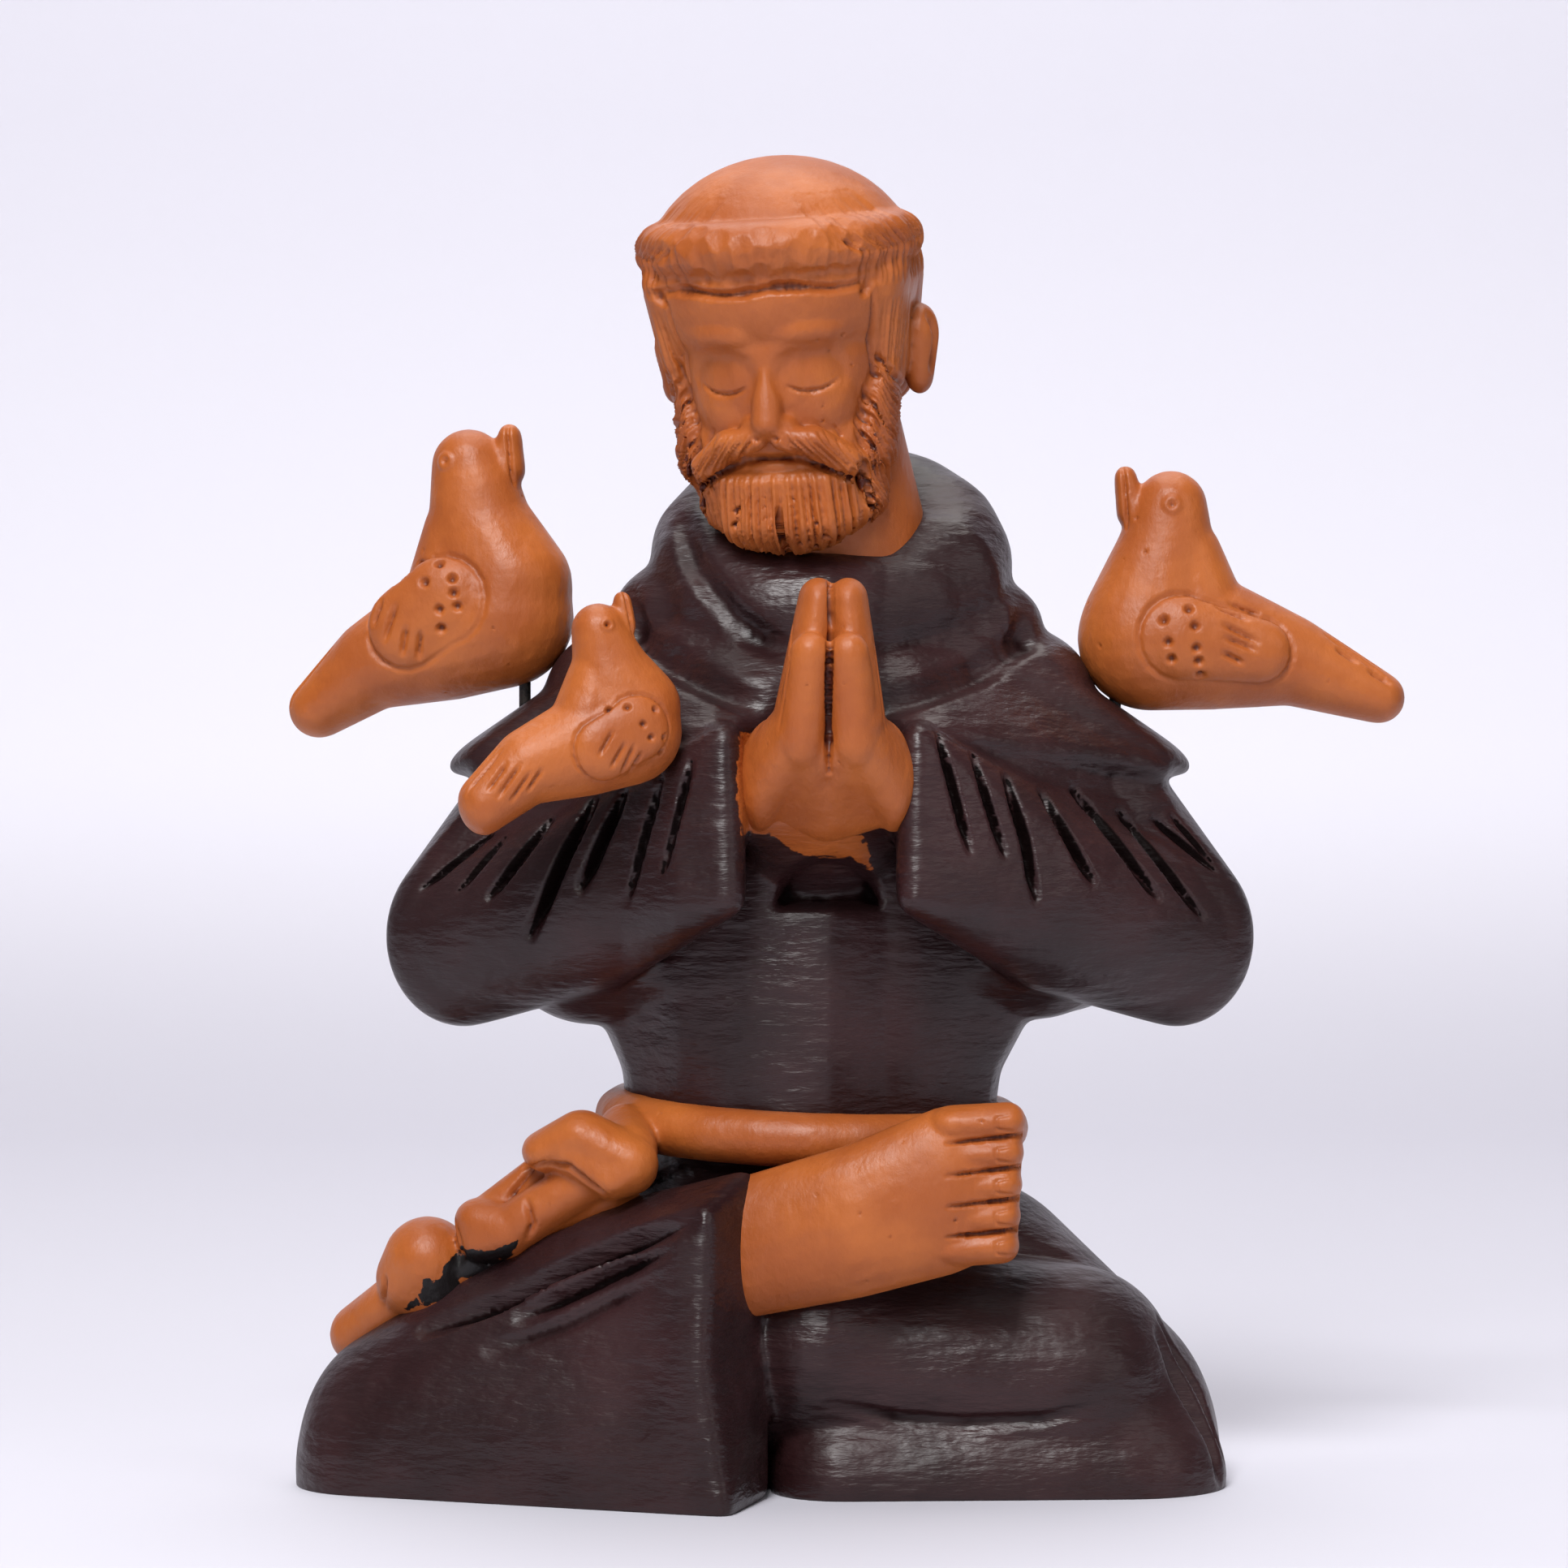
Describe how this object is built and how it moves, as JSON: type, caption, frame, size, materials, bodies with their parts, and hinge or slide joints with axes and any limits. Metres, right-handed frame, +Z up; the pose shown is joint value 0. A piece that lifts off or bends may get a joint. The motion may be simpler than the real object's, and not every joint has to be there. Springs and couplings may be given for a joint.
{
  "type": "saint francis statue",
  "caption": "Seated friar in a hooded robe with a tonsure, full beard, praying hands, rope belt and bare foot, and doves on the shoulders and forearm.",
  "frame": {"origin": "on the flat underside, below the middle of the waist", "axes": "+Z up, -Y to the figure's front, +X to the figure's left side, which is the viewer's right"},
  "size_m": [0.2096, 0.1049, 0.2447],
  "materials": {
    "robe_paint": "satin dark brown paint over a solid casting",
    "clay_paint": "soft satin terracotta paint over a solid casting",
    "wire_steel": "dark wire"
  },
  "bodies": {
    "root": {"figure": "robe_paint", "dove_right_shoulder": "clay_paint", "dove_left_shoulder": "clay_paint", "dove_forearm": "clay_paint", "peg_right_shoulder": "wire_steel", "peg_left_shoulder": "wire_steel"}
  },
  "joints": []
}
